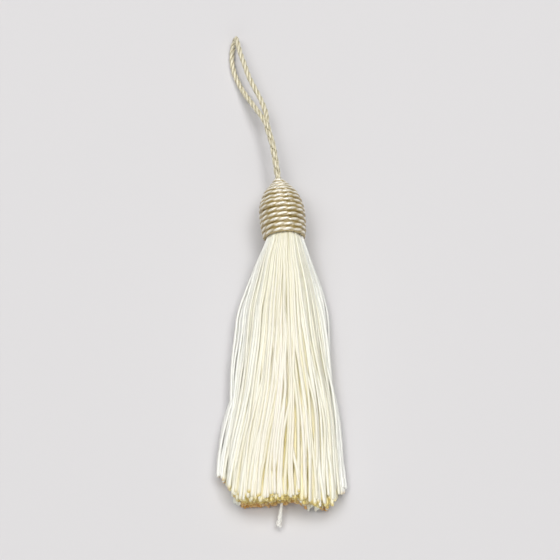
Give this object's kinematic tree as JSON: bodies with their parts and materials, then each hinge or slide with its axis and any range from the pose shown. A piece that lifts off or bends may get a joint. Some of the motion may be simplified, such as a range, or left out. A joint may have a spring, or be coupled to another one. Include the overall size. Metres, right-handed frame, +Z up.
{
  "type": "tassel",
  "caption": "Tassel lying on its side: a beehive head wound with twisted cord, a full skirt of shiny yarn with cut ends, and a loop of twisted cord to hang it by.",
  "frame": {"origin": "on the surface that the tassel lies on, under the middle of the box round its head and skirt", "axes": "+Y runs from the skirt's tips to the hanging loop, +Z is up from the surface and +X runs across the skirt"},
  "size_m": [0.0366, 0.1571, 0.014],
  "materials": {
    "wound_cord": "silky three-ply beige-gold cord, wound side by side",
    "skirt_yarn": "shiny cream yarn with a slack twist, cut ends golden",
    "hanger_cord": "fine beige-gold twisted cord, slightly fuzzy"
  },
  "bodies": {
    "root": {"head": "wound_cord", "skirt": "skirt_yarn", "hanger_cord": "hanger_cord"}
  },
  "joints": []
}
